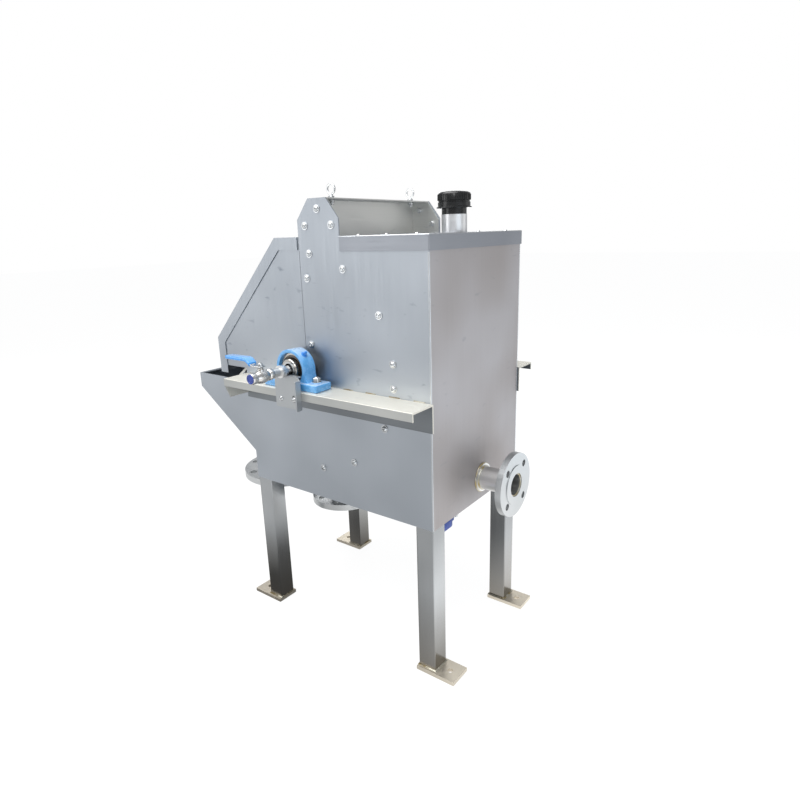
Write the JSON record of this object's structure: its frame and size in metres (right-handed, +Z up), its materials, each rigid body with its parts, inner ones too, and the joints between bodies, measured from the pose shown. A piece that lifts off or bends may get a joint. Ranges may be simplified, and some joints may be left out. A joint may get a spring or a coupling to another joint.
{
  "type": "rotary drum screen, external feed",
  "caption": "Stainless rotary drum screen on four legs, with a hinged hood over the solids trough, blue pillow blocks, a spray valve, a vent and flanged inlet and outlets.",
  "frame": {"origin": "middle of the four foot bolts, on the floor", "axes": "+X towards the feed inlet flange, +Y from the front to the drive at the back, +Z up"},
  "size_m": [0.959, 0.8026, 1.195],
  "materials": {
    "stainless_sheet": "brushed",
    "leg_tube": "satin",
    "foot_plate_steel": "satin",
    "stainless_pipe": "satin",
    "stainless_flange": "turned",
    "stainless_fasteners": "bright",
    "shaft_steel": "ground",
    "valve_nickel": "cast",
    "rubber_seal": "matte",
    "blade_plastic": "matte",
    "lever_sleeve": "gloss",
    "plug_plastic": "matte",
    "vent_plastic": "matte",
    "housing_paint": "gloss",
    "drive_paint": "gloss"
  },
  "bodies": {
    "frame": {"front_lower_plate": "stainless_sheet", "back_lower_plate": "stainless_sheet", "front_upper_plate": "stainless_sheet", "back_upper_plate": "stainless_sheet", "front_hood_plate": "stainless_sheet", "back_hood_plate": "stainless_sheet", "inlet_end_wall": "stainless_sheet", "tank_floor": "stainless_sheet", "sump_left_wall": "stainless_sheet", "trough_floor": "stainless_sheet", "headbox_partition": "stainless_sheet", "blade_holder": "stainless_sheet", "front_rail": "stainless_sheet", "back_rail": "stainless_sheet", "top_lid": "stainless_sheet", "lifting_beam": "stainless_sheet", "spray_bracket": "stainless_sheet", "torque_arm": "stainless_sheet", "side_seal_rings": "stainless_sheet", "hinge_fixed_leaves": "stainless_sheet", "legs": "leg_tube", "foot_plates": "foot_plate_steel", "inlet_pipe": "stainless_pipe", "filtrate_pipe": "stainless_pipe", "solids_chute": "stainless_pipe", "vent_pipe": "stainless_pipe", "spray_pipe": "stainless_pipe", "inlet_flange": "stainless_flange", "filtrate_flange": "stainless_flange", "solids_flange": "stainless_flange", "panel_bolts": "stainless_fasteners", "lid_screws": "stainless_fasteners", "lifting_eyes": "stainless_fasteners", "bearing_bolts": "stainless_fasteners", "spray_nozzles": "stainless_fasteners", "bearing_outer_rings": "shaft_steel", "spray_valve_body": "valve_nickel", "drain_valve_body": "valve_nickel", "partition_seal_strip": "rubber_seal", "side_seal_lips": "rubber_seal", "doctor_blade": "blade_plastic", "spray_inlet_plug": "plug_plastic", "vent_cap": "vent_plastic", "bearing_housing_front": "housing_paint", "bearing_housing_back": "housing_paint", "gearbox_housing": "drive_paint", "motor_housing": "drive_paint", "motor_fan_cowl": "drive_paint"},
    "drum": {"drum_end_disc_front": "stainless_sheet", "drum_end_disc_back": "stainless_sheet", "drum_shaft_front": "shaft_steel", "drum_shaft_back": "shaft_steel", "drum_screen": "stainless_sheet", "bearing_inner_rings": "shaft_steel"},
    "spray_lever": {"spray_valve_lever": "valve_nickel", "spray_valve_lever_sleeve": "lever_sleeve"},
    "drain_lever": {"drain_valve_lever": "valve_nickel", "drain_valve_lever_sleeve": "lever_sleeve"},
    "cover": {"hood_cover": "stainless_sheet", "hinge_moving_leaves": "stainless_sheet"}
  },
  "joints": [
    {"name": "drum_spin", "type": "hinge", "parent": "frame", "child": "drum", "pos_m": [-0.07, 0, 0.7612], "axis": [0, -1, 0], "continuous": true},
    {"name": "spray_valve_turn", "type": "hinge", "parent": "frame", "child": "spray_lever", "pos_m": [-0.07, -0.364, 0.7862], "axis": [0, 0, 1], "range_deg": [0, 90]},
    {"name": "drain_valve_turn", "type": "hinge", "parent": "frame", "child": "drain_lever", "pos_m": [0.277, -0.067, 0.3767], "axis": [1, 0, 0], "range_deg": [0, 90]},
    {"name": "hood_cover_hinge", "type": "hinge", "parent": "frame", "child": "cover", "pos_m": [-0.07, 0, 1.078], "axis": [0, 1, 0], "range_deg": [0, 85]}
  ]
}
